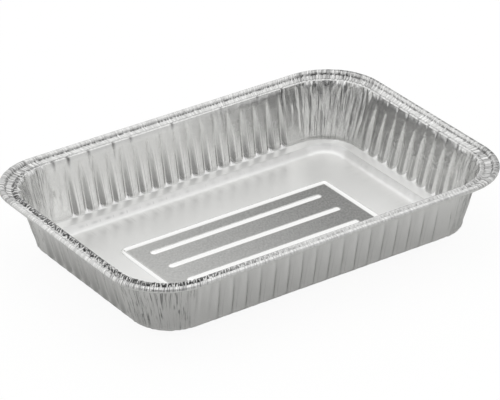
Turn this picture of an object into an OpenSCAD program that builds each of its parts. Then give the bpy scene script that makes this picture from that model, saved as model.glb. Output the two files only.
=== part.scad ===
// Foil drip pan: one pressed sheet of foil with a rolled rim, a sloping flange, fluted walls,
// creased corners, a raised ledge round the foot and a base stiffened by a frame and ribs.
// X runs along the length, Y along the width, and Z = 0 is the face that the pan rests on.

/* [Pan] */
// Length over the rolled rim
length = 218; // [170:1:320]
// Width over the rolled rim
width = 150; // [125:1:240]
// Height from the resting face to the crown of the rim
height = 36.5; // [26:0.5:60]
// Thickness of the foil
foil = 0.09; // [0.06:0.01:0.3]

/* [Rim] */
// Corner radius in plan, outside the rim
rim_corner_r = 31; // [26:0.5:38]
// Diameter of the rolled edge
curl_d = 2.8; // [1.8:0.1:3.6]
// Turn of the roll, from its crown round to the free edge
curl_turn = 255; // [235:5:260]
// Width of the flange, from the outside of the rim to the top of the wall
flange_w = 8.4; // [7.6:0.1:12]
// How far the channel behind the roll lies below the crown
channel_depth = 2.3; // [1.8:0.1:3]
// How far the lip at the top of the wall stands below the crown
lip_drop = 1.8; // [1.2:0.1:2.4]
// Radius of that lip
lip_r = 1.2; // [0.8:0.1:1.6]

/* [Wall] */
// Corner radius in plan at the top of the wall
wall_corner_r = 26.5; // [23:0.5:34]
// How far the plain wall comes in from its top to its foot
wall_lean = 6.1; // [3.2:0.1:10]
// How much further the end walls come in than the side walls
end_lean = 1.4; // [0:0.1:4]

/* [Flutes] */
// Distance from one flute to the next
flute_pitch = 7.9; // [6:0.1:12]
// How far the flutes stand out of the plain wall at its foot
flute_depth = 2.1; // [1:0.1:3]
// Least plain stretch of wall between the flutes and a corner
flute_margin = 4; // [1:0.5:12]

/* [Creases] */
// Creases gathered into each corner
crease_count = 8; // [4:1:9]
// Depth of the deepest crease in a corner's wall
crease_depth = 1; // [0.2:0.1:1.4]
// Depth of the crimps in a corner's flange and roll
crimp_depth = 0.5; // [0.1:0.05:0.7]

/* [Base] */
// Height of the ledge round the foot of the wall
ledge_h = 4.5; // [3:0.1:8]
// Width of the ledge, inside the flutes
ledge_w = 5; // [3:0.1:8]
// Run of the steep step from the ledge down to the base
step_run = 0.5; // [0.3:0.1:1.5]
// Radius of the turn from the step into the base
step_turn = 1.1; // [0.6:0.1:1.5]
// Share of the step's height by which the corners of the base are drawn up
corner_lift = 0.4; // [0:0.05:0.5]
// Plain base between its edge and the ends of the frame
frame_gap_x = 24.5; // [10:0.5:30]
// How far the frame stands off the middle of the base, along the length
frame_shift = 3; // [-6:0.5:6]
// Plain base between its edge and the sides of the frame
frame_gap_y = 26; // [10:0.5:28]
// Corner radius in plan, outside the frame
frame_corner_r = 4; // [3.5:0.5:8]
// Width of the frame's bead
bead_w = 2.4; // [1.6:0.1:3]
// Height of the frame's bead
bead_h = 1; // [0.5:0.1:1.6]
// Ribs side by side in the frame
rib_count = 3; // [2:1:4]
// Width of a rib
rib_w = 4.4; // [3:0.1:5]
// Height of a rib
rib_h = 0.8; // [0.4:0.1:1.2]
// Gap between the end of a rib and the frame
rib_gap = 9; // [4:0.5:20]

/* [Hidden] */

// Kinds of ring, by how their stations are spread round the pan
RIM = 0;
WALL = 1;
BASE = 2;
CORE = 3;
RIB = 4;

// Segments of a flute, of the lip, of the frame's bead and of the corners, and stations on a plain side
flute_steps = 4;
lip_steps = 3;
bead_steps = 4;
base_corner_steps = 3;
rib_corner_steps = 2;
rim_side_points = 3;

// Corner centres of the wall and base rings, from the outside of the rim
corner_reach = flange_w + wall_corner_r;
// Stations in one corner: a fold and a flat for each crease
corner_steps = 2 * crease_count;
// Fixed draws for the uneven creases, one row for each corner
crease_draw = [for (q = [0:3]) rands(0.35, 1, corner_steps + 1, 71 + q)];

// Section of the sheet: distances are measured in from the outside of the rim, and up from Z = 0.
// The lines follow the middle of the foil.
curl_mid_r = (curl_d - foil) / 2;
curl_in = curl_d / 2;
curl_z = height - curl_d / 2;
// Where the roll runs out into the flange, past its crown
curl_exit = 75;
lip_z = height - lip_drop - lip_r;
lip_in = flange_w - lip_r;
lip_start = -55;
lip_end = 75;
channel_in = (curl_d + lip_in + lip_r * sin(lip_start)) / 2 + 0.2;
// Shoulder of the channel on the side of the roll: how far out and how far up it stands
channel_run = 1;
channel_rise = 0.35;
foot_in = flange_w + wall_lean;
// Height above the ledge at which the wall's foot turns towards it, and the run of that turn
foot_rise = 2;
foot_run = 0.4;
ledge_in = foot_in + ledge_w;
step_in = ledge_in + step_run;
base_in = step_in + step_turn;
base_z = foil / 2;
// Rise of the base's corners, and the dip of the ledge above them
lift = corner_lift * (ledge_h - step_turn);
dip = lift * 0.6;
// The wall's top station stands just under the lip, and its middle one half way to the foot
wall_top_z = lip_z - 1;
wall_foot_z = ledge_h + foot_rise;
wall_mid_z = (wall_top_z + wall_foot_z) / 2;
// Share of the flutes' depth that is reached half way down, and that is left on the ledge
mid_flute = 0.55;
ledge_flute = 0.2;

// One point of the section: kind of ring, inset, height, share of the flutes, crease inwards and up,
// and the rise of its corners.
// The share of the end walls' extra lean follows from the height.
function section() = concat(
    // Roll, from its free edge over the outside to the crown and down to the flange
    [for (turn = [curl_turn, each [225:-45:-45], -curl_exit])
        let (crimp = crimp_depth / 2)
        [RIM, curl_in - curl_mid_r * sin(turn), curl_z + curl_mid_r * cos(turn), 0,
            crimp * sin(turn), -crimp * cos(turn), 0]],
    // Channel behind the roll
    [[RIM, channel_in - channel_run, height - channel_depth + channel_rise, 0, 0, -crimp_depth, 0],
     [RIM, channel_in, height - channel_depth, 0, 0, -crimp_depth / 2, 0]],
    // Lip, over into the wall
    [for (k = [0:lip_steps])
        let (turn = lip_start + k * (lip_end - lip_start) / lip_steps)
        [RIM, lip_in + lip_r * sin(turn), lip_z + lip_r * cos(turn), 0,
            crimp_depth / 2, -crimp_depth, 0]],
    // Fluted wall, down to the ends of the flutes on the ledge
    [[WALL, wall_in(wall_top_z), wall_top_z, 0, crease_depth * 0.6, 0, 0],
     [WALL, wall_in(wall_mid_z), wall_mid_z, mid_flute, crease_depth, 0, 0],
     [WALL, foot_in, wall_foot_z, 1, crease_depth * 0.8, 0, 0],
     [WALL, foot_in + foot_run, ledge_h, ledge_flute, crease_depth * 0.3, 0, 0]],
    // Ledge, step and edge of the base
    [[RIM, ledge_in, ledge_h, 0, 0, 0, -dip],
     [RIM, step_in, base_z + step_turn, 0, 0, 0, lift],
     [RIM, step_in + step_turn * 0.35, base_z + step_turn * 0.3, 0, 0, 0, lift],
     [RIM, base_in, base_z, 0, 0, 0, lift]]);

// How far down the wall a height lies: 0 at its top, 1 at its foot and below
function wall_share(z) = max(0, min(1, (lip_z - z) / (lip_z - wall_foot_z)));

// Inset of the plain wall at a height
function wall_in(z) = flange_w + wall_lean * wall_share(z);

// Corner radius in plan at an inset: the rim's blends into the wall's across the flange
function corner_r(inset) = inset > flange_w
    ? corner_reach - inset
    : rim_corner_r + (wall_corner_r - rim_corner_r) * inset / flange_w;

// Flutes on a side, as many as its straight stretch takes
function flute_count(q) =
    floor(((q % 2 == 0 ? width : length) - 2 * corner_reach - 2 * flute_margin) / flute_pitch);

// Stations along a side between its corners: each is an offset from the middle and a share of the
// flutes' depth, 1 on the narrow crest of a flute and 0 on the broad face between two of them
function side_stations(kind, q, straight) =
    kind == WALL
    ? [for (i = [0:flute_count(q) * flute_steps])
        let (phase = i % flute_steps / flute_steps)
        [(i / flute_steps - flute_count(q) / 2) * flute_pitch, pow(1 - abs(2 * phase - 1), 3)]]
    : [for (i = [1:1:side_points(kind, q)])
        [straight * (2 * i / (side_points(kind, q) + 1) - 1), 0]];

function side_points(kind, q) =
    kind == WALL ? flute_count(q) * flute_steps + 1
    : kind == RIM ? rim_side_points
    : kind == RIB ? 0
    : q % 2 == 0 ? rib_count - 1 : 0;

function corner_segments(kind) =
    kind == BASE ? base_corner_steps : kind == CORE ? 0 : kind == RIB ? rib_corner_steps : corner_steps;

// Share of the crease depth at a corner station: folds alternate with flatter stretches
function crease(kind, q, k) =
    kind > WALL || k == 0 || k == corner_steps ? 0
    : k % 2 == 1 ? crease_draw[q][k] : 0.25 * crease_draw[q][k];

// Points of one ring round a rounded rectangle, anticlockwise from the middle of the +X end.
// A ring is [kind, half length, half width, centre, corner radius, z, flute, crease in, crease up,
// corner rise].
function ring_points(ring) = [
    for (q = [0:3])
        let (kind = ring[0], r = ring[4], out = [cos(90 * q), sin(90 * q)], along = [-out[1], out[0]],
             reach = q % 2 == 0 ? ring[1] : ring[2], straight = (q % 2 == 0 ? ring[2] : ring[1]) - r,
             side = side_stations(kind, q, straight), last = corner_segments(kind))
        for (k = [0:len(side) + last])
            let (n = k - len(side), share = k < len(side) ? 0 : crease(kind, q, n),
                 turn = last == 0 ? 45 : 90 * n / last, round = r - share * ring[7],
                 rise = k < len(side) || last == 0 ? 0 : ring[9] * sin(180 * n / last),
                 flat = k < len(side)
                     ? out * (reach + side[k][1] * ring[6]) + along * side[k][0]
                     : out * (reach - r + round * cos(turn)) + along * (straight + round * sin(turn)))
            [each flat + ring[3], ring[5] + share * ring[8] + rise]
];

// Stations of a kind of ring before side q, and on the whole ring for q = 4
function ring_start(kind, q) =
    q == 0 ? 0 : ring_start(kind, q - 1) + side_points(kind, q - 1) + corner_segments(kind) + 1;

// Indices along side q, from the end of one corner to the start of the next
function side_chain(kind, first, q) =
    let (count = ring_start(kind, 4), start = ring_start(kind, q))
    [for (k = [-1:side_points(kind, q)]) first + (start + k + count) % count];

// Indices round corner q
function corner_chain(kind, first, q) =
    let (start = ring_start(kind, q) + side_points(kind, q))
    [for (k = [0:corner_segments(kind)]) first + start + k];

// Triangles between an outer and an inner chain of any two lengths
function floor_match(k, own, other) = floor((k + 0.5) * other / own + 0.5);
function ceil_match(k, own, other) = ceil((k + 0.5) * other / own - 0.5);
function zip(outer, inner) =
    let (m = len(outer) - 1, n = len(inner) - 1)
    concat(
        [for (j = [0:1:n - 1])
            [inner[j], inner[j + 1], outer[m <= n ? floor_match(j, n, m) : ceil_match(j, n, m)]]],
        [for (i = [0:1:m - 1])
            [outer[i + 1], outer[i], inner[m <= n ? ceil_match(i, m, n) : floor_match(i, m, n)]]]);

// Faces between two rings, the first of which lies outside the second
function band(kind_a, first_a, kind_b, first_b) = [
    for (q = [0:3])
        each concat(
            zip(side_chain(kind_a, first_a, q), side_chain(kind_b, first_b, q)),
            zip(corner_chain(kind_a, first_a, q), corner_chain(kind_b, first_b, q)))
];

function flip(faces) = [for (f = faces) [for (k = [len(f) - 1:-1:0]) f[k]]];

// Direction square to the sheet at point i of the section, lengthened at a bend to keep the thickness
function square_to(path, i) =
    let (a = path[max(i - 1, 0)], b = path[i], c = path[min(i + 1, len(path) - 1)],
         before = i == 0 ? unit(c - b) : unit(b - a), after = i == len(path) - 1 ? before : unit(c - b),
         mid = unit(before + after), square = [-mid[1], mid[0]])
    square / max(mid * after, 0.5);
function unit(v) = v / norm(v);

// Rings of one skin of the walls: side is +1 for the upper and inner skin, -1 for the lower and outer
function wall_rings(side) =
    let (points = section(), path = [for (p = points) [p[1], p[2]]])
    [for (i = [0:len(points) - 1])
        let (p = points[i], shift = square_to(path, i) * side * foil / 2, inset = p[1] + shift[0])
        [p[0], length / 2 - inset - end_lean * wall_share(p[2]), width / 2 - inset, [0, 0],
            corner_r(p[1]) - shift[0], p[2] + shift[1], p[3] * flute_depth, p[4], p[5], p[6]]];

// Frame and ribs in the base
frame_l = length / 2 - base_in - end_lean - frame_gap_x;
frame_w = width / 2 - base_in - frame_gap_y;
// The core inside the frame holds one row for each rib
core_l = frame_l - bead_w - 2;
core_w = frame_w - bead_w - 1;
row_w = 2 * core_w / rib_count;
rib_l = frame_l - bead_w - rib_gap;
rib_r = rib_w / 2.2;
frame_at = [frame_shift, 0];

function bead_rings(skin_z) = [
    for (k = [0:bead_steps])
        let (t = k / bead_steps, inset = bead_w * t)
        [BASE, frame_l - inset, frame_w - inset, frame_at, frame_corner_r - inset,
            skin_z + bead_h * sin(180 * t), 0, 0, 0, 0]];

function core_ring(skin_z) = [CORE, core_l, core_w, frame_at, 0, skin_z, 0, 0, 0, 0];

// Foot and top of a rib, with flanks that slope at 45 degrees
function rib_rings(skin_z, row) =
    let (middle = frame_at + [0, (row + 0.5) * row_w - core_w])
    [for (k = [0:1])
        [RIB, rib_l - k * rib_h, rib_w / 2 - k * rib_h, middle,
            rib_r - k * rib_h, skin_z + k * rib_h, 0, 0, 0, 0]];

// Corners of a row of the core, as indices in the core ring
function row_corners(first, row) =
    let (right = [for (k = [0:rib_count]) first + (k + ring_start(CORE, 4) - 1) % ring_start(CORE, 4)],
         left = [for (k = [0:rib_count]) first + ring_start(CORE, 2) - 1 + k])
    [right[row + 1], left[rib_count - row - 1], left[rib_count - row], right[row]];

// Start of each ring in a list of rings
function starts(rings, i = 0, from = 0) =
    i == len(rings) ? [] : concat([from], starts(rings, i + 1, from + ring_start(rings[i][0], 4)));

// One skin of the pan as [points, faces]: side is as for the walls, and the faces turn away from
// the foil on the upper skin
function skin(side) =
    let (skin_z = base_z + side * foil / 2,
         shell = concat(wall_rings(side), bead_rings(skin_z), [core_ring(skin_z)]),
         ribs = [for (row = [0:rib_count - 1]) each rib_rings(skin_z, row)],
         rings = concat(shell, ribs), from = starts(rings), core = from[len(shell) - 1],
         points = [for (ring = rings) each ring_points(ring)],
         faces = concat(
             [for (i = [0:len(shell) - 2])
                 each band(shell[i][0], from[i], shell[i + 1][0], from[i + 1])],
             [for (row = [0:rib_count - 1])
                 let (corners = row_corners(core, row), low = from[len(shell) + 2 * row],
                      high = from[len(shell) + 2 * row + 1])
                 each concat(
                     [for (q = [0:3]) each concat(
                         zip([corners[(q + 3) % 4], corners[q]], side_chain(RIB, low, q)),
                         zip([corners[q]], corner_chain(RIB, low, q)))],
                     band(RIB, low, RIB, high),
                     [[for (k = [ring_start(RIB, 4) - 1:-1:0]) high + k]])]))
    [points, faces];

// The whole sheet: upper and lower skins, joined along the free edge of the roll
module pan() {
    upper = skin(1);
    lower = skin(-1);
    below = len(upper[0]);
    rim_count = ring_start(RIM, 4);
    color([0.80, 0.80, 0.79])
        polyhedron(
            points = concat(upper[0], lower[0]),
            faces = concat(
                upper[1],
                [for (f = flip(lower[1])) [for (v = f) v + below]],
                [for (k = [0:rim_count - 1])
                    let (next = (k + 1) % rim_count) each [
                        [k, next, next + below],
                        [k, next + below, k + below]]]),
            convexity = 10);
}

pan();
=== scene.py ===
"""Dressed scene of the foil drip pan: the pressed sheet, its foil, the studio and the camera.

Sizes are in millimetres until a point goes into a mesh, and then in metres, in the frame of the
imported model. X runs along the pan, Y across it, and Z = 0 is the face that it rests on.
"""

import logging
import math
import random
from bisect import bisect_right
from dataclasses import dataclass, field
from enum import Enum
from typing import Dict, List, Sequence, Tuple

import bmesh
import bpy
from mathutils import Matrix, Vector, noise


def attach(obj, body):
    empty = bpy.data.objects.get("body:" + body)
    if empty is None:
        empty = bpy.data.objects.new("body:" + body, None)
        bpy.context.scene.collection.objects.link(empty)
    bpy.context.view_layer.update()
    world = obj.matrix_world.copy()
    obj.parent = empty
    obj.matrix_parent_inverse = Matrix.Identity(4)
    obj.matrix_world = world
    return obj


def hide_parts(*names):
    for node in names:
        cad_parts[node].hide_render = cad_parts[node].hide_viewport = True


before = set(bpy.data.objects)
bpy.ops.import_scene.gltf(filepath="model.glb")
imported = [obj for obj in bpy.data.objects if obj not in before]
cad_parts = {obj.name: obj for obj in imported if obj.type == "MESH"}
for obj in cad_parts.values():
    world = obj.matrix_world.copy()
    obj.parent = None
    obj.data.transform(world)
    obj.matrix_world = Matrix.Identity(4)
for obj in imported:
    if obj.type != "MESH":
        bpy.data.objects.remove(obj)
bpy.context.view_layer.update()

LOG = logging.getLogger("pan")
MM = 0.001

Plan = Tuple[float, float]
Socket = bpy.types.NodeSocket


class Band(Enum):
    """Bands of the sheet, from its free edge in the roll down to the base."""

    ROLL = "roll"
    FLANGE = "flange"
    LIP = "lip"
    WALL = "wall"
    FOOT = "foot"
    LEDGE = "ledge"
    STEP = "step"
    BASE = "base"


class Side(Enum):
    """The four sides, in the order of the stations round the pan."""

    RIGHT = 0
    FAR = 1
    LEFT = 2
    NEAR = 3

    @property
    def is_end(self) -> bool:
        """Whether this is one of the two short sides."""
        return self.value % 2 == 0

    @property
    def out(self) -> Vector:
        """Direction out of the pan in plan."""
        turn = self.value * math.pi / 2
        return Vector((round(math.cos(turn)), round(math.sin(turn))))


@dataclass(frozen=True)
class Station:
    """One place round the pan, at which every level of the section has a vertex."""

    side: Side
    in_corner: bool
    place: float
    run: float
    from_crest: float
    flute: int


@dataclass(frozen=True)
class Level:
    """One level of the section: its band, how far in from the rim and how high it lies."""

    band: Band
    inset: float
    height: float


@dataclass(frozen=True)
class Kink:
    """A nick in the lip, that runs some way down the wall. Millimetres."""

    place: float
    depth: float
    reach: float
    ripple: float = 0.0

    def height(self, place: float, below: float) -> float:
        """Height of the nick at a place and at a depth below the top of the wall.

        Args:
            place: Place along the side.
            below: Distance below the top of the wall.

        Returns:
            Millimetres towards the inner face.
        """
        beside = abs(place - self.place)
        fade = 1 - smooth(0.0, self.reach, below)
        notch = -self.depth * max(0.0, 1 - beside / 0.9)
        waves = self.ripple * math.sin(2 * math.pi * (below + 0.8 * beside) / 1.9)
        return fade * (notch + waves * max(0.0, 1 - beside / 2.6))

    def shade(self, place: float, below: float) -> float:
        """How dark the nick's painted shade is at a place and at a depth below the top of the wall.

        Args:
            place: Place along the side.
            below: Distance below the top of the wall.

        Returns:
            A share from 0 to 1.
        """
        line = max(0.0, 1 - abs(place - self.place) / 1.2)
        waves = 0.5 + 0.5 * math.sin(2 * math.pi * below / 1.9) if self.ripple else 1.0
        fade = 1 - smooth(0.5, self.reach, below)
        return min(1.0, 2.2 * self.depth) * line * waves * fade


def smooth(low: float, high: float, value: float) -> float:
    """Ease from 0 at low to 1 at high.

    Args:
        low: Value at which the result is 0.
        high: Value at which the result is 1.
        value: Value to ease.

    Returns:
        A share from 0 to 1.
    """
    share = max(0.0, min(1.0, (value - low) / (high - low)))
    return share * share * (3 - 2 * share)


def deselect_all() -> None:
    """Leave object mode's selection empty."""
    bpy.ops.object.select_all(action="DESELECT")


@dataclass
class Folds:
    """A row of sharp folds round the pan, each a straight face between two creases.

    Folds lie at random distances, and every other crease stands up.
    """

    length: float
    nearest: float
    furthest: float
    seed: int
    places: List[float] = field(default_factory=list)
    heights: List[float] = field(default_factory=list)

    def __post_init__(self) -> None:
        """Draw the creases."""
        draw = random.Random(self.seed)
        place, sign = 0.0, 1.0
        while place < self.length:
            self.places.append(place)
            self.heights.append(sign * draw.uniform(0.15, 1.0))
            place += draw.uniform(self.nearest, self.furthest)
            sign = -sign
        self.places.append(self.length)
        self.heights.append(self.heights[0])

    def height(self, run: float) -> float:
        """Height of the folds at a running length.

        Args:
            run: Length round the pan, in millimetres.

        Returns:
            A share from -1 to 1.
        """
        run %= self.length
        k = bisect_right(self.places, run) - 1
        share = (run - self.places[k]) / (self.places[k + 1] - self.places[k])
        return self.heights[k] + (self.heights[k + 1] - self.heights[k]) * share


@dataclass
class PressedSheet:
    """The whole pan, pressed from one sheet of foil. Sizes in millimetres."""

    length: float = 218.0
    width: float = 150.0
    height: float = 36.5
    foil: float = 0.09
    rim_corner_r: float = 31.0
    wall_corner_r: float = 26.5
    roll_d: float = 2.8
    flange_w: float = 8.4
    lip_drop: float = 1.8
    lip_r: float = 1.2
    wall_lean: float = 6.1
    end_lean: float = 1.4
    foot_height: float = 6.5
    ledge_height: float = 4.5
    flute_pitch: float = 7.9
    flute_depth: float = 2.1
    flutes_long: int = 17
    flutes_end: int = 9
    corner_stations: int = 99
    plain_stations: int = 8
    base_in: float = 21.1
    corner_lift: float = 1.36
    frame_half_l: float = 62.0
    frame_half_w: float = 27.9
    frame_shift: float = 3.0
    frame_corner_r: float = 4.0
    bead_w: float = 3.2
    bead_h: float = 0.95
    hold: float = 0.2
    rib_rows: int = 3
    rib_half_l: float = 50.6
    rib_w: float = 4.4
    rib_h: float = 0.8
    flank_slope: float = 1.15
    toe_slope: float = 0.85
    lobe_bulge: float = 0.3
    crest_r: float = 0.75
    ladder_pitch: float = 1.9
    off_flute: float = 9.0
    seed: int = 41
    kinks: Tuple[Kink, ...] = (
        Kink(69.2, 0.5, 5.0), Kink(60.9, 0.55, 7.0), Kink(49.0, 0.5, 12.0, 0.22),
        Kink(34.7, 0.5, 10.0, 0.22), Kink(24.6, 0.4, 4.0, 0.12), Kink(0.2, 0.4, 3.0),
        Kink(-29.0, 0.25, 3.0), Kink(-51.0, 0.45, 5.0, 0.12), Kink(-65.8, 0.5, 16.0))
    gains: Dict[Side, List[float]] = field(default_factory=dict)
    pleats: Folds = field(init=False)
    wrinkles: Folds = field(init=False)
    crimps: Folds = field(init=False)

    def __post_init__(self) -> None:
        """Draw how deep each flute came out, and the rows of folds."""
        draw = random.Random(self.seed)
        for side in Side:
            count = self.flutes_end if side.is_end else self.flutes_long
            self.gains[side] = [draw.uniform(0.86, 1.10) for _ in range(count)]
        self.pleats = Folds(self.round_length, 1.1, 3.4, self.seed + 1)
        self.wrinkles = Folds(self.round_length, 0.6, 1.5, self.seed + 2)
        self.crimps = Folds(self.round_length, 0.8, 2.2, self.seed + 3)

    @property
    def corner_reach(self) -> float:
        """Distance of the corner centres from the outside of the rim."""
        return self.flange_w + self.wall_corner_r

    def straight(self, side: Side) -> float:
        """Half of the straight stretch of a side, at the wall."""
        across = self.width if side.is_end else self.length
        return across / 2 - self.corner_reach

    def stations(self) -> List[Station]:
        """Spread the stations round the pan, with one on the crest of each flute.

        Returns:
            The stations in order, anticlockwise.
        """
        beside = (0.4, 0.85, 1.3, 1.8, 2.5, 3.2)
        cell = [-x for x in reversed(beside)] + [0.0, *beside, self.flute_pitch / 2]
        arc = math.pi / 2 * self.wall_corner_r
        made: List[Station] = []
        start = 0.0
        for side in Side:
            count = self.flutes_end if side.is_end else self.flutes_long
            straight = self.straight(side)
            fluted = count * self.flute_pitch / 2
            places = [(-straight + (straight - fluted) * k / self.plain_stations, 99.0, 0)
                      for k in range(1, self.plain_stations + 1)]
            for flute in range(count):
                middle = (flute + 0.5) * self.flute_pitch - fluted
                places += [(middle + x, abs(x), flute) for x in cell]
            places += [(fluted + (straight - fluted) * k / self.plain_stations, 99.0, 0)
                       for k in range(1, self.plain_stations)]
            made += [Station(side, False, place, start + place + straight, away, flute)
                     for place, away, flute in places]
            start += 2 * straight
            for k in range(self.corner_stations + 1):
                share = k / self.corner_stations
                made.append(Station(side, True, 90.0 * share, start + arc * share, 99.0, 0))
            start += arc
        return made

    @property
    def round_length(self) -> float:
        """Length round the pan, along the top of its wall."""
        straights = 4 * (self.straight(Side.NEAR) + self.straight(Side.LEFT))
        return straights + 2 * math.pi * self.wall_corner_r

    def wall_share(self, height: float) -> float:
        """How far down the wall a height lies: 0 at its top, 1 at its foot and below."""
        top = self.height - self.lip_drop - self.lip_r
        return max(0.0, min(1.0, (top - height) / (top - self.foot_height)))

    def levels(self) -> List[Level]:
        """Lay out the section, from the free edge in the roll to the flat of the base.

        Returns:
            The levels in order.
        """
        roll_r = (self.roll_d - self.foil) / 2
        roll_in, roll_z = self.roll_d / 2, self.height - self.roll_d / 2
        lip_z, lip_in = self.height - self.lip_drop - self.lip_r, self.flange_w - self.lip_r
        made: List[Level] = []
        for turn in (250, 205, 160, 120, 80, 45, 15, -15, -48, -78):
            angle = math.radians(turn)
            made.append(Level(Band.ROLL, roll_in - roll_r * math.sin(angle),
                              roll_z + roll_r * math.cos(angle)))
        for inset, drop in ((3.0, 1.8), (3.7, 2.2), (4.8, 2.42), (5.6, 2.68)):
            made.append(Level(Band.FLANGE, inset, self.height - drop))
        for turn in (-70, -35, 2, 45):
            angle = math.radians(turn)
            made.append(Level(Band.LIP, lip_in + self.lip_r * math.sin(angle),
                              lip_z + self.lip_r * math.cos(angle)))
        for height in (32.8, 31.2, 29.2, 27.0, 24.6, 22.0, 19.2, 16.4, 13.6, 11.0, 8.8, 7.4):
            inset = self.flange_w + self.wall_lean * self.wall_share(height)
            made.append(Level(Band.WALL, inset, height))
        foot_in = self.flange_w + self.wall_lean
        for run, rise in ((0.0, 2.0), (0.0, 1.35), (0.06, 0.7), (0.35, 0.25)):
            made.append(Level(Band.FOOT, foot_in + run, self.ledge_height + rise))
        for inset, rise in ((1.0, 0.1), (3.0, -0.22), (4.8, -0.52)):
            made.append(Level(Band.LEDGE, foot_in + inset, self.ledge_height + rise))
        for inset, height in ((19.4, 3.78), (20.15, 2.62), (20.9, 1.4), (21.5, 0.62)):
            made.append(Level(Band.STEP, inset, height))
        for inset, height in ((22.1, 0.22), (23.2, 0.045), (25.6, 0.045), (29.5, 0.045)):
            made.append(Level(Band.BASE, inset, height))
        return made

    def plan(self, station: Station, inset: float, height: float, outward: float = 0.0) -> Plan:
        """Find a station's place in plan at an inset.

        Args:
            station: The place round the pan.
            inset: Distance in from the outside of the rim.
            height: Height, which sets how far the end walls have come in.
            outward: Distance that the point stands out of its level.

        Returns:
            X and Y in millimetres.
        """
        radius = self.corner_reach - inset
        if inset < self.flange_w:
            share = inset / self.flange_w
            radius = self.rim_corner_r + (self.wall_corner_r - self.rim_corner_r) * share
        half_l = self.length / 2 - inset - self.end_lean * self.wall_share(height)
        half_w = self.width / 2 - inset
        reach, cross = (half_l, half_w) if station.side.is_end else (half_w, half_l)
        out = station.side.out
        along = Vector((-out[1], out[0]))
        straight = cross - radius
        if station.in_corner:
            turn = math.radians(station.place)
            round_r = radius + outward
            spot = out * (reach - radius + round_r * math.cos(turn))
            spot += along * (straight + round_r * math.sin(turn))
        else:
            spot = out * (reach + outward)
            spot += along * (station.place * straight / self.straight(station.side))
        return spot[0], spot[1]

    def corner_share(self, station: Station) -> float:
        """How fully a station lies in a corner: 1 in its turn, and less beside it."""
        if station.in_corner:
            return 1.0
        return 1 - smooth(0.0, 12.0, self.straight(station.side) - abs(station.place))

    def flute_out(self, station: Station, level: Level) -> float:
        """How far a flute stands out of the plain wall here.

        A flute is a dart with two flat flanks. It starts as a point near the top of the wall.
        """
        if station.from_crest > self.flute_pitch:
            return 0.0
        gain = self.gains[station.side][station.flute]
        share = self.wall_share(level.height)
        if level.band not in (Band.WALL, Band.FOOT):
            return 0.0
        depth = self.flute_depth * gain * max(0.0, share - 0.04) ** 0.85
        beside = math.hypot(station.from_crest, self.crest_r) - 0.4 * self.crest_r
        dart = max(0.0, depth - self.flank_slope * beside * (0.25 + 0.75 * share))
        toe = self.toe_slope * max(0.0, level.height - self.ledge_height - 0.5)
        bulge = self.lobe_bulge * share * smooth(0.8, self.flute_pitch / 2, station.from_crest)
        bulge *= smooth(0.2, 5.0, level.height - self.ledge_height)
        return min(dart, toe) - bulge

    def kinks_of(self, side: Side) -> Sequence[Kink]:
        """Kinks of a side: drawn one by one on the far side, at each flute on the right."""
        if side is Side.FAR:
            return self.kinks
        if side is not Side.RIGHT:
            return ()
        return [Kink((k - (self.flutes_end - 1) / 2) * self.flute_pitch, 0.3, 3.0 + 2.0 * (k % 3))
                for k in range(self.flutes_end)]

    def kinked(self, station: Station, level: Level) -> float:
        """Height of the kinks of the lip here, towards the inner face."""
        if station.in_corner:
            return 0.0
        below = max(0.0, self.height - self.lip_drop - level.height)
        return sum(kink.height(station.place, below) for kink in self.kinks_of(station.side))

    def nicked(self, station: Station, level: Level) -> float:
        """How dark the painted shade of the kinks is here, from 0 to 1."""
        if station.in_corner:
            return 0.0
        below = max(0.0, self.height - self.lip_drop - level.height)
        return max((kink.shade(station.place, below) for kink in self.kinks_of(station.side)),
                   default=0.0)

    def crumple(self, station: Station, level: Level) -> float:
        """Height of the creases, pleats and ripples on the sheet, square to it.

        Args:
            station: The place round the pan.
            level: The level of the section.

        Returns:
            Millimetres towards the inner or upper face.
        """
        run, corner = station.run, self.corner_share(station)
        down = self.wall_share(level.height)
        smooth_rim = 1.0
        if station.side is Side.FAR and not station.in_corner:
            smooth_rim = 0.22 + 0.78 * corner
        if level.band in (Band.WALL, Band.FOOT):
            sway = 1.6 * noise.noise(Vector((run * 0.07, level.height * 0.06, 5)))
            sway += 0.7 * noise.noise(Vector((run * 0.35, level.height * 0.16, 9)))
            deep = smooth(-0.35, 0.45, noise.noise(Vector((run * 0.17, level.height * 0.09, 40))))
            sharp = smooth(-0.3, 0.4, noise.noise(Vector((run * 0.31, level.height * 0.13, 50))))
            pleat = self.pleats.height(run + sway) * (0.12 + 0.75 * deep)
            fine = self.wrinkles.height(run - 1.3 * sway + 0.10 * level.height)
            fine *= (0.08 + 0.42 * sharp) * (1 - 0.35 * down)
            broad = 0.5 * noise.noise(Vector((run * 0.16, level.height * 0.05, 60)))
            foot = 0.25 if level.band is Band.FOOT else 1 - 0.6 * smooth(0.7, 1.0, down)
            calm = 0.10 * noise.noise(Vector((run * 0.35, level.height * 0.08, 80)))
            calm += 0.06 * (1 - down) * self.wrinkles.height(run + 2 * sway)
            calm += self.kinked(station, level)
            return corner * foot * (pleat + fine + broad) + (1 - corner) * calm
        if level.band is Band.LIP:
            crimp = self.crimps.height(run + 0.3 * level.inset)
            outer = 1 - smooth(6.2, 7.4, level.inset)
            rough = smooth_rim * (0.08 + 0.22 * outer) * crimp
            return self.kinked(station, level) + rough + corner * (
                0.24 * self.crimps.height(run) + 0.20 * self.wrinkles.height(run))
        if level.band is Band.FLANGE:
            end = 0.20 if station.side.is_end else 0.02
            ladder = end * math.sin(2 * math.pi * run / self.ladder_pitch)
            valley = 1 - smooth(0.4, 1.4, min(abs(level.inset - 3.1), abs(level.inset - 5.6)))
            rough = (0.05 + 0.28 * valley) * self.crimps.height(run + 0.4 * level.inset)
            rough *= smooth_rim
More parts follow.
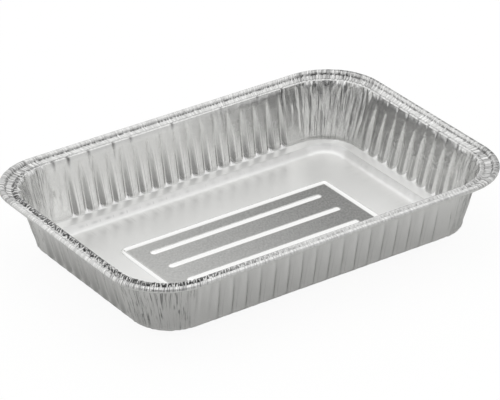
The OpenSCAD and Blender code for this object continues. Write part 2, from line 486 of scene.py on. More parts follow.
            pleat = 0.26 * self.pleats.height(run) + 0.36 * self.wrinkles.height(run)
            return corner * pleat * (0.6 + 0.4 * valley) + (1 - corner) * (ladder + rough)
        if level.band is Band.ROLL:
            inner = smooth(1.6, 2.6, level.inset)
            rough = smooth_rim * (0.02 + 0.20 * inner) * self.crimps.height(run)
            pleat = self.pleats.height(run) + 0.6 * self.wrinkles.height(run)
            return rough + (0.07 + 0.16 * inner) * corner * pleat
        if level.band in (Band.LEDGE, Band.STEP):
            soft = noise.noise(Vector((run * 0.22, level.inset * 0.3, 100)))
            return (0.06 + 0.10 * corner) * soft
        return 0.0

    def point(self, station: Station, level: Level, normal: Plan) -> Vector:
        """Find the vertex of a station at a level.

        Args:
            station: The place round the pan.
            level: The level of the section.
            normal: Direction square to the sheet, as inwards and upwards shares.

        Returns:
            The point in metres.
        """
        swell = self.crumple(station, level)
        outward = self.flute_out(station, level) - normal[0] * swell
        rise = normal[1] * swell
        if level.band in (Band.STEP, Band.BASE):
            fade = 1.0 if level.band is Band.STEP else 1 - smooth(19.1, 29.5, level.inset)
            if station.in_corner:
                rise += self.corner_lift * fade * math.sin(math.radians(2 * station.place))
            if station.from_crest < self.flute_pitch:
                crest = max(0.0, 1 - station.from_crest / 2.2)
                outward += 0.10 * crest if level.band is Band.STEP else 0.0
                near_edge = 1 - smooth(20.0, 29.0, level.inset)
                rise += 0.08 * near_edge * (0.5 - crest) * (level.inset > self.base_in)
        if level.band is Band.LEDGE and station.in_corner:
            rise -= 0.5 * math.sin(math.radians(2 * station.place)) * (level.inset - 15.0) / 4.5
        x, y = self.plan(station, level.inset, level.height, outward)
        return Vector((x, y, max(level.height + rise, self.foil / 2))) * MM

    @staticmethod
    def normals(levels: Sequence[Level]) -> List[Plan]:
        """Directions square to the section, towards the inner or upper face.

        Args:
            levels: The section.

        Returns:
            One pair of inwards and upwards shares for each level.
        """
        made: List[Plan] = []
        for k in range(len(levels)):
            a, b = levels[max(k - 1, 0)], levels[min(k + 1, len(levels) - 1)]
            run, rise = b.inset - a.inset, b.height - a.height
            size = math.hypot(run, rise)
            made.append((-rise / size, run / size))
        return made

    def press(self) -> bpy.types.Object:
        """Draw the sheet down level by level, and close it with the stiffened base.

        Returns:
            The finished pan.
        """
        stations, levels = self.stations(), self.levels()
        normals = self.normals(levels)
        deselect_all()
        bpy.ops.mesh.primitive_circle_add(vertices=len(stations), radius=0.1, fill_type="NOTHING")
        pan = bpy.context.active_object
        pan.name = pan.data.name = "foil_pan"
        bpy.ops.object.mode_set(mode="EDIT")
        bpy.ops.mesh.select_all(action="SELECT")
        sheet = bmesh.from_edit_mesh(pan.data)
        tag = sheet.verts.layers.int.new("station")
        sheet.verts.layers.int.new("level")
        for k, vert in enumerate(sheet.verts):
            vert[tag] = k
        for k, level in enumerate(levels):
            sheet = bmesh.from_edit_mesh(pan.data)
            tag = sheet.verts.layers.int["station"]
            if level.band is Band.LEDGE and levels[k - 1].band is not Band.LEDGE:
                self.thin_out(sheet, tag, stations, level, normals[k])
                self.mark_level(sheet, k)
                bmesh.update_edit_mesh(pan.data)
                continue
            if k:
                bpy.ops.mesh.extrude_edges_move()
                sheet = bmesh.from_edit_mesh(pan.data)
                tag = sheet.verts.layers.int["station"]
            for vert in [v for v in sheet.verts if v.select]:
                vert.co = self.point(stations[vert[tag]], level, normals[k])
            self.mark_level(sheet, k)
        ring = self.ring_of([v for v in sheet.verts if v.select], tag)
        self.close_base(sheet, ring)
        self.lay_out(sheet, stations, levels)
        bmesh.update_edit_mesh(pan.data)
        bpy.ops.mesh.select_all(action="SELECT")
        bpy.ops.mesh.normals_make_consistent(inside=False)
        bpy.ops.object.mode_set(mode="OBJECT")
        for name in ("station", "level"):
            pan.data.attributes.remove(pan.data.attributes[name])
        wall = pan.modifiers.new("foil", "SOLIDIFY")
        wall.thickness, wall.offset = self.foil * MM, 0.0
        bpy.ops.object.modifier_apply(modifier=wall.name)
        bpy.ops.object.shade_smooth_by_angle(angle=math.radians(32))
        return pan

    @staticmethod
    def mark_level(sheet: bmesh.types.BMesh, number: int) -> None:
        """Note the level of the selected ring. The base's own vertices keep 0.

        Args:
            sheet: The mesh in edit mode.
            number: The level's place in the section.
        """
        mark = sheet.verts.layers.int["level"]
        for vert in sheet.verts:
            if vert.select:
                vert[mark] = number + 1

    def flank_share(self, station: Station, level: Level) -> float:
        """How far across a flute's flank a point lies: 0 on the fold, 1 or -1 at its edges."""
        share = self.wall_share(level.height)
        if station.from_crest > self.flute_pitch or share < 0.06:
            return self.off_flute
        count = len(self.gains[station.side])
        beside = station.place - (station.flute + 0.5 - count / 2) * self.flute_pitch
        depth = self.flute_depth * self.gains[station.side][station.flute] * share ** 0.85
        return beside * self.flank_slope * (0.25 + 0.75 * share) / depth

    def lay_out(self, sheet: bmesh.types.BMesh, stations: Sequence[Station],
                levels: Sequence[Level]) -> None:
        """Write where each face corner lies on the sheet, in metres.

        Two lengths run round the pan and down the section, and with them goes how far across a
        flute's flank it is. The foil's creases, its painted crease and flank shade and its dashes
        follow them. A second layer holds the painted shade of the kinks of the lip.

        Args:
            sheet: The mesh in edit mode.
            stations: The places round the pan.
            levels: The section.
        """
        tag, mark = sheet.verts.layers.int["station"], sheet.verts.layers.int["level"]
        laid = sheet.loops.layers.float_vector.new("sheet")
        nicks = sheet.loops.layers.float.new("nick")
        down = [0.0]
        for above, below in zip(levels, levels[1:]):
            step = math.hypot(below.inset - above.inset, below.height - above.height)
            down.append(down[-1] + step)
        half = len(stations) // 2
        for face in sheet.faces:
            tags = [vert[tag] for vert in face.verts]
            closes = max(tags) - min(tags) > half
            for loop in face.loops:
                run = stations[loop.vert[tag]].run
                if closes and loop.vert[tag] < half:
                    run += self.round_length
                station, number = stations[loop.vert[tag]], loop.vert[mark] - 1
                across = self.flank_share(station, levels[number])
                loop[laid] = Vector((run * MM, down[number] * MM, across))
                if levels[number].band in (Band.LIP, Band.WALL):
                    loop[nicks] = self.nicked(station, levels[number])

    def thin_out(self, sheet: bmesh.types.BMesh, tag: bmesh.types.BMLayerItem,
                 stations: Sequence[Station], level: Level, normal: Plan) -> None:
        """Go on from the selected ring with every other station only.

        Args:
            sheet: The mesh in edit mode.
            tag: Layer that holds each vertex's station.
            stations: The places round the pan.
            level: The level of the new ring.
            normal: Direction square to the sheet there.
        """
        outer = self.ring_of([v for v in sheet.verts if v.select], tag)
        inner = []
        for vert in outer[::2]:
            made = sheet.verts.new(self.point(stations[vert[tag]], level, normal))
            made[tag] = vert[tag]
            inner.append(made)
        for k, vert in enumerate(inner):
            following = inner[(k + 1) % len(inner)]
            sheet.edges.new((vert, following))
        for k, vert in enumerate(inner):
            a, b, c = (outer[(2 * k + j) % len(outer)] for j in range(3))
            sheet.faces.new((a, b, vert))
            sheet.faces.new((b, inner[(k + 1) % len(inner)], vert))
            sheet.faces.new((b, c, inner[(k + 1) % len(inner)]))
        for face in sheet.faces:
            face.select_set(False)
        for vert in sheet.verts:
            vert.select_set(False)
        for k, vert in enumerate(inner):
            sheet.edges.get((vert, inner[(k + 1) % len(inner)])).select_set(True)

    @staticmethod
    def ring_of(verts: Sequence[bmesh.types.BMVert], tag: bmesh.types.BMLayerItem) -> List:
        """Put the vertices of a ring in their order round the pan.

        Args:
            verts: The ring's vertices.
            tag: Layer that holds each vertex's station.

        Returns:
            The vertices, sorted.
        """
        return sorted(verts, key=lambda v: v[tag])

    def close_base(self, sheet: bmesh.types.BMesh, ring: List) -> None:
        """Close the base with its frame bead, panel and ribs.

        Args:
            sheet: The mesh in edit mode.
            ring: The last ring of the drawn sheet.
        """
        flat = self.foil / 2
        centre = Vector((self.frame_shift, 0.0))
        before = ring
        bead = [(-self.hold, 0.0)] + [(self.bead_w * k / 8, math.sin(math.pi * k / 8))
                                      for k in range(8)]
        for inset, share in bead + [(self.bead_w, 0.0), (self.bead_w + self.hold, 0.0)]:
            shape = self.rounded(self.frame_half_l - inset, self.frame_half_w - inset,
                                 self.frame_corner_r - inset, 8, 26, 12)
            high = flat + self.bead_h * share
            after = self.loop(sheet, [centre + p for p in shape], high)
            self.stitch(sheet, before, after)
            before = after
        edges = self.loop_edges(sheet, before)
        core_w = self.frame_half_w - self.bead_w - 1
        for row in range(self.rib_rows):
            middle = centre + Vector((0.0, ((row + 0.5) * 2 / self.rib_rows - 1) * core_w))
            foot: List = []
            last: List = []
            for inset, share in ((-self.hold, 0.0), (0.0, 0.0), (0.45, 0.42), (0.95, 0.78),
                                 (1.5, 0.96), (2.0, 1.0)):
                half = self.rib_w / 2 - inset
                shape = self.rounded(self.rib_half_l - inset, half, half * 0.999, 8, 20, 0)
                loop = self.loop(sheet, [middle + p for p in shape], flat + self.rib_h * share)
                if last:
                    self.stitch(sheet, last, loop)
                else:
                    foot = loop
                last = loop
            sheet.faces.new(last)
            edges += self.loop_edges(sheet, foot)
        bmesh.ops.triangle_fill(sheet, use_beauty=True, use_dissolve=False, edges=edges,
                                normal=Vector((0, 0, 1)))

    @staticmethod
    def rounded(half_l: float, half_w: float, radius: float, turns: int, long: int,
                short: int) -> List[Vector]:
        """Draw a rounded rectangle, anticlockwise.

        Args:
            half_l: Half of its length.
            half_w: Half of its width.
            radius: Corner radius.
            turns: Segments in a corner.
            long: Points between the corners of a long side.
            short: Points between the corners of a short side.

        Returns:
            The points in plan, in millimetres.
        """
        made: List[Vector] = []
        for quarter in range(4):
            turn = quarter * math.pi / 2
            out = Vector((round(math.cos(turn)), round(math.sin(turn))))
            along = Vector((-out[1], out[0]))
            reach, cross = (half_l, half_w) if quarter % 2 == 0 else (half_w, half_l)
            count = short if quarter % 2 == 0 else long
            for k in range(1, count + 1):
                made.append(out * reach + along * (cross - radius) * (2 * k / (count + 1) - 1))
            for k in range(turns + 1):
                angle = math.pi / 2 * k / turns
                spot = out * (reach - radius + radius * math.cos(angle))
                made.append(spot + along * (cross - radius + radius * math.sin(angle)))
        return made

    @staticmethod
    def loop(sheet: bmesh.types.BMesh, plan: Sequence[Vector], height: float) -> List:
        """Add a closed loop of edges at one height.

        Args:
            sheet: The mesh in edit mode.
            plan: Points in millimetres.
            height: Height in millimetres.

        Returns:
            The vertices.
        """
        verts = [sheet.verts.new(Vector((p[0], p[1], height)) * MM) for p in plan]
        for k, vert in enumerate(verts):
            sheet.edges.new((vert, verts[(k + 1) % len(verts)]))
        return verts

    @staticmethod
    def loop_edges(sheet: bmesh.types.BMesh, loop: Sequence) -> List:
        """Edges of a closed loop of vertices."""
        return [sheet.edges.get((v, loop[(k + 1) % len(loop)])) for k, v in enumerate(loop)]

    @staticmethod
    def stitch(sheet: bmesh.types.BMesh, outer: Sequence, inner: Sequence) -> None:
        """Fill the band between two loops with triangles, along the shorter diagonals.

        Args:
            sheet: The mesh in edit mode.
            outer: The outer loop, anticlockwise.
            inner: The inner loop, anticlockwise.
        """
        start = min(range(len(outer)), key=lambda k: (outer[k].co - inner[0].co).length)
        i, j = 0, 0
        while i < len(outer) or j < len(inner):
            a, b = outer[(start + i) % len(outer)], inner[j % len(inner)]
            next_a, next_b = outer[(start + i + 1) % len(outer)], inner[(j + 1) % len(inner)]
            step_out = (next_a.co - b.co).length < (next_b.co - a.co).length
            if j >= len(inner) or (step_out and i < len(outer)):
                sheet.faces.new((a, next_a, b))
                i += 1
            else:
                sheet.faces.new((a, next_b, b))
                j += 1


@dataclass(frozen=True)
class Nodes:
    """Short ways to add the nodes of one tree."""

    tree: bpy.types.NodeTree

    def fill(self, slot: Socket, value: object) -> None:
        """Link a socket to an input, or set the input's own value."""
        if isinstance(value, bpy.types.NodeSocket):
            self.tree.links.new(value, slot)
        elif value is not None:
            slot.default_value = (*value, 1) if slot.type == "RGBA" else value

    def add(self, kind: str, *values: object) -> bpy.types.ShaderNode:
        """Add a node and fill its first inputs.

        Args:
            kind: The node's type, without its common start.
            values: Sockets to link or values to set, in the order of the inputs.

        Returns:
            The node.
        """
        node = self.tree.nodes.new("ShaderNode" + kind)
        for slot, value in zip(node.inputs, values):
            self.fill(slot, value)
        return node

    def named(self, node: bpy.types.ShaderNode, **values: object) -> bpy.types.ShaderNode:
        """Fill inputs by their names, with a space for each underline."""
        for name, value in values.items():
            self.fill(node.inputs[name.replace("_", " ")], value)
        return node

    def maths(self, operation: str, one: object, other: object, clamp: bool = False) -> Socket:
        """Work out one sum with two sockets or numbers."""
        node = self.add("Math", one, other)
        node.operation, node.use_clamp = operation, clamp
        return node.outputs["Value"]

    def product(self, *parts: object) -> Socket:
        """Multiply sockets and numbers."""
        total = parts[0]
        for part in parts[1:]:
            total = self.maths("MULTIPLY", total, part)
        return total

    def sum_of(self, one: object, other: object, clamp: bool = True) -> Socket:
        """Add two sockets, held between 0 and 1 unless told otherwise."""
        return self.maths("ADD", one, other, clamp)

    def vector(self, operation: str, one: Socket, other: object = None) -> bpy.types.ShaderNode:
        """Work with vectors. A dot product is read from Value and the rest from Vector."""
        node = self.add("VectorMath", one, other)
        node.operation = operation
        return node

    def split(self, place: Socket) -> bpy.types.ShaderNode:
        """Split a vector into X, Y and Z."""
        return self.add("SeparateXYZ", place)

    def toward(self, place: Socket, way: Sequence[float]) -> Socket:
        """Distance from the middle along a direction."""
        return self.vector("DOT_PRODUCT", place, way).outputs["Value"]

    def from_middle(self, place: Socket, middle: Sequence[float]) -> bpy.types.ShaderNode:
        """Split the distances from a point, without their signs, into X, Y and Z."""
        offset = self.vector("SUBTRACT", place, middle).outputs["Vector"]
        return self.split(self.vector("ABSOLUTE", offset).outputs["Vector"])

    def remap(self, value: Socket, span: Sequence[float], levels: Sequence[float],
              eased: bool = False) -> Socket:
        """Read a value's span as a span of levels, held at its ends.

        Args:
            value: The value to read.
            span: Where the change starts and ends.
            levels: The level before and after it.
            eased: Whether the change is eased.

        Returns:
            The level.
        """
        node = self.add("MapRange")
        if eased:
            node.interpolation_type = "SMOOTHSTEP"
        self.named(node, Value=value, From_Min=span[0], From_Max=span[1],
                   To_Min=levels[0], To_Max=levels[1])
        return node.outputs["Result"]

    def window(self, value: Socket, span: Sequence[float]) -> Socket:
        """Mark where a value lies inside a span, with soft ends.

        Args:
            value: The value to read.
            span: Both ends, and the length of the soft ends.

        Returns:
            1 inside the span and 0 outside it.
        """
        start, end, soft = span
        return self.product(self.remap(value, (start, start + soft), (0, 1)),
                            self.remap(value, (end - soft, end), (1, 0)))

    def mix(self, share: Socket, first: object, second: object, kind: str = "RGBA") -> Socket:
        """Mix two colours, or two values with the kind FLOAT, by a share of the second."""
        node = self.add("Mix")
        node.data_type = kind
        return self.named(node, Factor=share, A=first, B=second).outputs["Result"]

    def noise(self, place: Socket, scale: float, detail: float,
              stretch: Sequence[float] = None) -> Socket:
        """Read a noise texture.

        Args:
            place: Coordinates.
            scale: The noise's scale.
            detail: The noise's detail.
            stretch: How the coordinates are scaled first, if at all.

        Returns:
            The noise's value.
        """
        if stretch is not None:
            place = self.named(self.add("Mapping"), Vector=place, Scale=stretch).outputs["Vector"]
        node = self.named(self.add("TexNoise"), Vector=place, Scale=scale, Detail=detail)
        return node.outputs["Fac"]

    def bump(self, height: Socket, strength: float, distance: float,
             normal: Socket = None) -> Socket:
        """Lay a bump over another one.

        Args:
            height: The height to read.
            strength: Strength from 0 to 1.
            distance: Height in metres.
            normal: The bump below, if any.

        Returns:
            The bumped normal.
        """
        node = self.named(self.add("Bump"), Height=height, Strength=strength,
                          Distance=distance, Normal=normal)
        return node.outputs["Normal"]


@dataclass(frozen=True)
class Foil:
    """Bright rolled aluminium foil, a little uneven in gloss, and grained inside the frame. Its
    colour also carries painted shade in the creases, corners, flute flanks, kinks and rim crimps,
    painted highlights on the far wall, the step, the frame bead and the ribs, and painted
    reflections of the flutes on the step and at the base's edge.

    A span gives two ends in metres and the length of its soft ends. Spans down the sheet are
    measured from its free edge in the roll.
    """

    light: Tuple[float, float, float] = (0.88, 0.88, 0.87)
    dull: Tuple[float, float, float] = (0.80, 0.80, 0.79)
    panel: Tuple[float, float, float] = (0.57, 0.57, 0.56)
    panel_dark: Tuple[float, float, float] = (0.21, 0.21, 0.205)
    gloss: Tuple[float, float] = (0.17, 0.25)
    panel_gloss: float = 0.42
    base_gloss: float = 0.34
    step_gloss: float = 0.46
    step_span: Tuple[float, float, float] = (0.0009, 0.0041, 0.0004)
    frame_half: Tuple[float, float] = (0.0621, 0.0280)
    lit_run: Tuple[float, float] = (0.026, 0.038)
    base_top: Tuple[float, float] = (0.0050, 0.0060)
    shade: Tuple[float, float, float] = (0.035, 0.035, 0.035)
    # Painted highlight colour, laid on the far wall's lower part, the step and the raised bead and
    # ribs of the base.
    painted_highlight: Tuple[float, float, float] = (0.95, 0.95, 0.94)
    ridge_span: Tuple[float, float, float] = (0.0002, 0.0013, 0.0002)
    hair_level: Tuple[float, float] = (0.39, 0.46)
    hair_dark: float = 0.64
    plain_dark: float = 0.03
    wedge_level: Tuple[float, float] = (0.33, 0.39)
    corner_shade: float = 0.12
    # Painted shade on the flutes' flanks, set side by side.
    flanks: Tuple = (((-1.50, -0.03, 0.14), "Y", 0.040, 1, 0.54),
                     ((-0.30, 1.70, 0.80), "Y", -0.040, -1, 0.24),
                     ((-0.40, 1.70, 0.90), "X", -0.080, -1, 0.34),
                     ((1.00, 6.00, 0.30), "X", 0.085, 1, 0.44),
                     ((-6.00, -1.00, 0.30), "X", 0.085, 1, 0.44))
    flank_run: Tuple[float, float] = (0.019, 0.040)
    kink_dark: float = 0.85
    near_corner: Tuple[float, float, float] = (-0.57, -0.82, 0.0)
    near_corner_from: Tuple[float, float] = (0.092, 0.104)
    bead_span: Tuple[float, float, float] = (0.0072, 0.0098, 0.0005)
    edge_span: Tuple[float, float, float] = (0.0040, 0.0066, 0.0006)
    flute_reflection_half: Tuple[float, float, float] = (-1.3, 1.3, 1.1)
    flute_reflections: Tuple = (((0.0502, 0.0520, 0.0006), 0.22), ((0.0532, 0.0618, 0.0030), 0.13))
    dash_level: Tuple[float, float] = (0.49, 0.55)
    dash_dark: Tuple[float, float] = (0.12, 0.98)
    rib_tones: Tuple[float, float] = (0.32, 0.0)
    near_left: Tuple[float, float, float] = (-1.0, -0.25, 0.0)
    wall_span: Tuple[float, float, float] = (0.0135, 0.0445, 0.002)
    channel_span: Tuple[float, float, float] = (0.0107, 0.0139, 0.0004)
    root_span: Tuple[float, float, float] = (0.0076, 0.0090, 0.0004)
    rim_span: Tuple[float, float, float] = (0.0030, 0.0142, 0.0010)
    corner_from: Tuple[float, float] = (0.072, 0.080)
    corner_from_y: Tuple[float, float] = (0.037, 0.045)
    crinkle_depth: float = 0.00025
    streak_depth: float = 0.0003
    mottle_depth: float = 0.00008
    mottle_span: Tuple[float, float, float] = (0.0150, 0.0360, 0.0050)
    panel_middle: Tuple[float, float, float] = (0.003, 0.0, 0.0)
    panel_half: Tuple[float, float] = (0.0587, 0.0246)
    panel_top: float = 0.0003
    right_from: Tuple[float, float] = (0.085, 0.088)
    far_from: Tuple[float, float] = (0.04, 0.05)
    back_from: Tuple[float, float] = (0.086, 0.100)
    panel_fade_run: Tuple[float, float] = (-0.055, 0.045)
    panel_fade_dark: float = 0.62
    panel_fade_streaks: Tuple[float, float] = (-0.10, 0.32)
    lit_most: float = 0.8
    patch_level: Tuple[float, float] = (0.36, 0.62)
    wedge_dark: float = 0.75
    step_bright: float = 0.8
    flute_reflection_run: Tuple[float, float] = (-0.05, 0.03)
    rib_gain: Tuple[float, float] = (1.0, 2.1)
    near_left_run: Tuple[float, float] = (0.035, 0.095)
    near_corner_dark: float = 0.60
    root_dark: Tuple[float, float] = (0.0, 0.7)
    edge_dark: Tuple[float, float] = (0.85, 0.15)
    dent_depth: float = 0.0003
    grain_depth: float = 0.00002
    pit_depth: float = 0.00012

    def material(self) -> bpy.types.Material:
        """Build the node tree.

        Returns:
            The material.
        """
        made = bpy.data.materials.new("bright_foil")
        made.use_nodes = True
        nodes = Nodes(made.node_tree)
        shader = made.node_tree.nodes["Principled BSDF"]
        shader.inputs["Metallic"].default_value = 1.0
        place = nodes.add("TexCoord").outputs["Object"]
        spot = nodes.split(place).outputs
        laid = nodes.add("Attribute")
        laid.attribute_name = "sheet"
        lengths = laid.outputs["Vector"]
        section = nodes.split(lengths).outputs
        down, beside = section["Y"], section["Z"]

        lines = nodes.noise(place, 700.0, 3.0, (0.05, 1.0, 1.0))
        cloud = nodes.noise(place, 45.0, 3.0)
        grain = nodes.noise(place, 1500.0, 2.0)
        streak = nodes.noise(place, 1500.0, 2.0, (1.0, 0.5, 1.0))
        hair = nodes.noise(lengths, 1800.0, 3.0, (1.0, 0.035, 0.0))
        patch = nodes.noise(lengths, 130.0, 2.0, (1.0, 0.5, 0.0))
        wedge = nodes.noise(lengths, 620.0, 2.0, (1.0, 0.12, 0.0))
        teeth = nodes.noise(lengths, 1350.0, 2.0, (1.0, 0.30, 0.0))
        blobs = nodes.noise(lengths, 280.0, 2.0, (1.0, 0.6, 0.0))

        away = nodes.from_middle(place, (0.0, 0.0, 0.0)).outputs
        corner = nodes.product(nodes.remap(away["X"], self.corner_from, (0, 1)),
                               nodes.remap(away["Y"], self.corner_from_y, (0, 1)))
        on_wall = nodes.window(down, self.wall_span)
        right = nodes.remap(spot["X"], self.right_from, (0, 1))

        # The panel turns darker towards +X, with streaks.
        panel_fade = nodes.sum_of(nodes.remap(spot["X"], self.panel_fade_run, (0.0, self.panel_fade_dark)),
                            nodes.remap(streak, (0.3, 0.7), self.panel_fade_streaks))
        inside = self.panel_mask(nodes, place)
        tone = nodes.mix(inside, nodes.mix(cloud, self.dull, self.light),
                         nodes.mix(panel_fade, self.panel, self.panel_dark))
        # Painted highlight: the far wall is lightened, more towards its foot.
        lit = nodes.product(on_wall, nodes.remap(down, self.lit_run, (0.0, self.lit_most)),
                            nodes.remap(spot["Y"], self.far_from, (0, 1)))
        tone = nodes.mix(lit, tone, self.painted_highlight)

        # Painted shade: dark hairlines and wedges in the walls' creases, faint on plain walls and
        # strongest in the corners.
        patch = nodes.remap(patch, self.patch_level, (0.15, 1.0))
        hairline = nodes.remap(hair, self.hair_level, (1, 0))
        wedge = nodes.remap(wedge, self.wedge_level, (self.wedge_dark, 0.0))
        lined = nodes.sum_of(nodes.product(hairline, patch), wedge)
        share = nodes.remap(corner, (0.0, 1.0), (self.plain_dark, self.hair_dark))
        tone = nodes.mix(nodes.product(share, on_wall, lined), tone, self.shade)
        # Painted shade darkens the crumpled corners of the wall as a whole.
        tone = nodes.mix(nodes.product(corner, on_wall, self.corner_shade), tone, self.shade)

        # Painted shade: one flank of each flute is darkened on the far, near and left sides, and
        # the stretches between the flutes on the right end, growing down the wall.
        for span, axis, edge, sign, dark in self.flanks:
            flank = nodes.product(nodes.window(beside, span),
                                  nodes.remap(spot[axis], (edge, edge + sign * 0.002), (0, 1)),
                                  nodes.remap(down, self.flank_run, (0, dark)), on_wall)
            tone = nodes.mix(flank, tone, self.shade)
        # Painted shade in the nicks of the lip, read from the sheet's nick layer.
        kinked = nodes.add("Attribute")
        kinked.attribute_name = "nick"
        tone = nodes.mix(nodes.product(kinked.outputs["Fac"], self.kink_dark), tone, self.shade)
        # Painted shade: dark dashes and edge lines in the crimps of the rim.
        tone = self.rim_tone(nodes, tone, place, down, teeth)

        # Painted highlight on the step down from the ledge to the base.
        stepped = nodes.window(spot["Z"], self.step_span)
        tone = nodes.mix(nodes.product(stepped, self.step_bright), tone, self.painted_highlight)
        # Painted reflection of the flutes: dark marks in line with each flute on the step and at
        # the base's edge, stronger towards -X.
        flute_reflection_mask = nodes.window(beside, self.flute_reflection_half)
        for span, dark in self.flute_reflections:
            fade = nodes.remap(spot["X"], self.flute_reflection_run, (dark, 0.35 * dark))
            mark = nodes.product(flute_reflection_mask, nodes.window(down, span), fade, patch)
            tone = nodes.mix(mark, tone, self.shade)
        # Painted shade in the radial crimps of the rim, stronger in the corners.
        on_rim = nodes.window(down, self.rim_span)
        ribbed = nodes.product(nodes.remap(hair, (0.35, 0.65), self.rib_tones), on_rim,
                               nodes.remap(corner, (0.0, 1.0), self.rib_gain))
        tone = nodes.mix(ribbed, tone, self.shade)
        # Painted highlight on the raised frame bead and ribs of the base.
        ridge = nodes.window(spot["Z"], self.ridge_span)
        framed = nodes.from_middle(place, self.panel_middle).outputs
        for axis, half in zip("XY", self.frame_half):
            ridge = nodes.product(ridge, nodes.remap(framed[axis], (half, half + 0.0004), (1, 0)))
        nodes.fill(shader.inputs["Base Color"], nodes.mix(ridge, tone, self.painted_highlight))

        gloss = nodes.remap(lines, (0.3, 0.7), self.gloss)
        for mask, level in ((nodes.remap(spot["Z"], self.base_top, (1.0, 0.0)), self.base_gloss),
                            (stepped, self.step_gloss), (ridge, self.gloss[0]),
                            (inside, self.panel_gloss)):
            gloss = nodes.mix(mask, gloss, level, "FLOAT")
        nodes.fill(shader.inputs["Roughness"], gloss)

        bumped = nodes.bump(cloud, 0.25, self.dent_depth)
        bumped = nodes.bump(grain, 0.12, self.grain_depth, bumped)
        bumped = nodes.bump(nodes.product(grain, inside), 0.8, self.pit_depth, bumped)
        bumped = nodes.bump(nodes.product(teeth, on_rim), 1.0, self.crinkle_depth, bumped)
        walls = nodes.sum_of(nodes.product(corner, 0.95), nodes.product(on_wall, 0.03))
        bumped = nodes.bump(nodes.product(hair, walls, on_wall), 1.0, self.streak_depth, bumped)
        mottle = nodes.product(nodes.remap(blobs, (0.40, 0.70), (0, 1)),
                               nodes.window(down, self.mottle_span), right,
                               nodes.remap(corner, (0.0, 0.5), (1, 0)))
        bumped = nodes.bump(mottle, 1.0, self.mottle_depth, bumped)
        nodes.fill(shader.inputs["Normal"], bumped)
        return made

    def rim_tone(self, nodes: Nodes, tone: Socket, place: Socket, down: Socket,
                 teeth: Socket) -> Socket:
        """Lay the rim's dashes and edges, painted shade in its crimps, over a colour.

        Args:
            nodes: The tree's nodes.
            tone: The colour so far.
            place: Object coordinates.
            down: The length down the sheet.
            teeth: The noise that the dashes follow.

        Returns:
            The colour with the painted dashes.
        """
        dash = nodes.remap(teeth, self.dash_level, (1, 0))
        left = nodes.remap(nodes.toward(place, self.near_left), self.near_left_run, self.dash_dark)
        near = nodes.remap(nodes.toward(place, self.near_corner), self.near_corner_from,
                           (0.0, self.near_corner_dark))
        back = nodes.remap(nodes.split(place).outputs["X"], self.back_from, (0, 1))
        for marks, span, share in (
                (dash, self.channel_span, left),
                (nodes.remap(teeth, (0.42, 0.58), self.root_dark), self.root_span, 1.0),
                (dash, self.bead_span, near),
                (nodes.remap(teeth, (0.40, 0.56), self.edge_dark), self.edge_span, back)):
            dark = nodes.product(marks, nodes.window(down, span), share)
            tone = nodes.mix(dark, tone, self.shade)
        return tone

    def panel_mask(self, nodes: Nodes, place: Socket) -> Socket:
        """Mark the low flat inside the frame.

        Args:
            nodes: The tree's nodes.
            place: Object coordinates.

        Returns:
            1 on the panel and 0 elsewhere.
        """
        away = nodes.from_middle(place, self.panel_middle).outputs
        return nodes.product(*(
            nodes.remap(away[axis], (limit - 0.0001, limit + 0.0001), (1, 0))
            for axis, limit in zip("XYZ", (*self.panel_half, self.panel_top))))


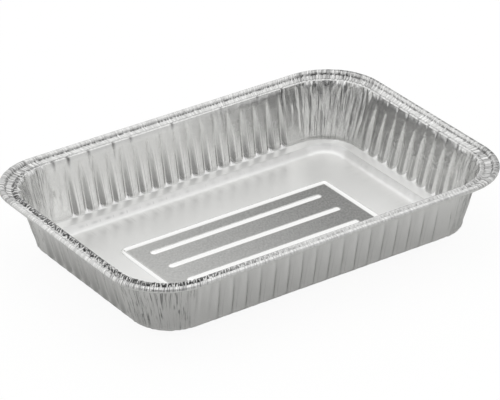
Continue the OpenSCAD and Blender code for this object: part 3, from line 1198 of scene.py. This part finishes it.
@dataclass
class Studio:
    """White floor, soft light from above and dimmer surroundings."""

    floor_half: float = 3.0
    floor_paint: Tuple[float, float, float] = (0.68, 0.68, 0.67)
    floor_white: float = 0.88
    floor_glow: float = 0.08
    glow_strength: float = 1.05
    bright_side: float = 70.0
    front: float = 0.60
    dark_side: float = 232.0
    dark_rise: float = -2.0
    dark_edge: Tuple[float, float] = (0.68, 0.94)
    dark_level: float = 0.08
    back: float = 0.985
    front_run: Tuple[float, float] = (-0.75, 0.35)
    zenith: float = 1.0
    rise: Tuple[float, float] = (0.35, 0.75)
    box_power: float = 0.6

    def build(self) -> None:
        """Build the floor, the lamps and the world."""
        self.floor()
        self.lamp("soft_box", (-0.05, 0.25, 1.1), (0.0, 0.0, 0.0), 1.1, self.box_power)
        self.world()

    def floor(self) -> bpy.types.Object:
        """Lay the floor under the pan.

        Returns:
            The floor.
        """
        deselect_all()
        bpy.ops.mesh.primitive_plane_add(size=2 * self.floor_half)
        made = bpy.context.active_object
        made.name = "floor"
        paint = bpy.data.materials.new("white_floor")
        paint.use_nodes = True
        nodes = Nodes(paint.node_tree)
        paint.node_tree.nodes.remove(paint.node_tree.nodes["Principled BSDF"])
        matt = nodes.add("BsdfDiffuse", self.floor_paint).outputs["BSDF"]
        glow = nodes.add("Emission", (1, 1, 1), self.glow_strength).outputs["Emission"]
        path = nodes.add("LightPath").outputs
        seen = nodes.product(path["Is Camera Ray"], self.floor_white)
        for ray in ("Is Glossy Ray", "Is Transmission Ray"):
            seen = nodes.sum_of(seen, nodes.product(path[ray], self.floor_glow), False)
        mixed = nodes.add("MixShader", seen, matt, glow).outputs["Shader"]
        nodes.fill(paint.node_tree.nodes["Material Output"].inputs["Surface"], mixed)
        made.data.materials.append(paint)
        return made

    @staticmethod
    def lamp(name: str, place: Sequence[float], target: Sequence[float], size: float,
             power: float) -> bpy.types.Object:
        """Hang a square soft lamp that faces a point.

        Args:
            name: The lamp's name.
            place: Where it hangs, in metres.
            target: The point that it faces.
            size: Its side in metres.
            power: Its power in watts.

        Returns:
            The lamp.
        """
        data = bpy.data.lights.new(name, "AREA")
        data.shape, data.size, data.energy = "SQUARE", size, power
        made = bpy.data.objects.new(name, data)
        bpy.context.scene.collection.objects.link(made)
        made.location = place
        aim = Vector(target) - Vector(place)
        made.rotation_euler = aim.to_track_quat("-Z", "Y").to_euler()
        return made

    def world(self) -> None:
        """Make the surroundings: bright behind the pan and above it, dimmer in front.

        The camera itself sees them white.
        """
        world = bpy.data.worlds.new("studio")
        bpy.context.scene.world = world
        world.use_nodes = True
        nodes = Nodes(world.node_tree)
        place = nodes.add("TexCoord").outputs["Generated"]
        turn = math.radians(self.bright_side)
        side = nodes.toward(place, (math.cos(turn), math.sin(turn), 0.0))
        low = nodes.remap(side, self.front_run, (self.front, self.back), True)
        rise = nodes.remap(nodes.split(place).outputs["Z"], self.rise, (0.0, 1.0), True)
        level = nodes.mix(rise, low, self.zenith, "FLOAT")
        tilt, turn = math.radians(self.dark_rise), math.radians(self.dark_side)
        dark = nodes.toward(place, (math.cos(turn) * math.cos(tilt),
                                    math.sin(turn) * math.cos(tilt), math.sin(tilt)))
        hidden = nodes.remap(dark, self.dark_edge, (0.0, 1.0), True)
        level = nodes.mix(hidden, level, self.dark_level, "FLOAT")
        seen = nodes.mix(nodes.add("LightPath").outputs["Is Camera Ray"], level, 1.0, "FLOAT")
        nodes.named(world.node_tree.nodes["Background"], Color=(1, 1, 1), Strength=seen)


@dataclass(frozen=True)
class PhotoCamera:
    """The camera, set so that the pan stands as it does in the 500 by 400 picture."""

    azimuth: float = -34.57
    elevation: float = 28.54
    roll: float = -0.48
    distance: float = 1659.18
    focal_px: float = 3468.89
    picture_w: float = 500.0
    sensor: float = 36.0
    target: Tuple[float, float, float] = (-4.2, -5.95, 25.38)

    def place(self) -> bpy.types.Object:
        """Create the camera and make it the scene's.

        Returns:
            The camera.
        """
        a, e, r = (math.radians(v) for v in (self.azimuth, self.elevation, self.roll))
        back = Vector((math.sin(a) * math.cos(e), -math.cos(a) * math.cos(e), math.sin(e)))
        right = Vector((math.cos(a), math.sin(a), 0.0))
        up = back.cross(right)
        right, up = (right * math.cos(r) + up * math.sin(r), up * math.cos(r) - right * math.sin(r))
        data = bpy.data.cameras.new("camera")
        data.sensor_width = self.sensor
        data.lens = self.focal_px * self.sensor / self.picture_w
        data.clip_start, data.clip_end = 0.1, 20.0
        made = bpy.data.objects.new("camera", data)
        bpy.context.scene.collection.objects.link(made)
        turn = Matrix((right, up, back)).transposed().to_4x4()
        stand = (Vector(self.target) + back * self.distance) * MM
        made.matrix_world = Matrix.Translation(stand) @ turn
        bpy.context.scene.camera = made
        return made


def main() -> None:
    """Build the camera, the studio and the pan, and dress it."""
    logging.basicConfig(level=logging.INFO, format="%(name)s: %(message)s")
    bpy.context.scene.view_settings.view_transform = "Standard"
    PhotoCamera().place()
    Studio().build()
    pan = PressedSheet().press()
    pan.data.materials.clear()
    pan.data.materials.append(Foil().material())
    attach(pan, "root")
    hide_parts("pan")
    triangles = sum(len(p.vertices) - 2 for p in pan.data.polygons)
    LOG.info("%s: %d triangles", pan.name, triangles)


if __name__ == "__main__":
    main()
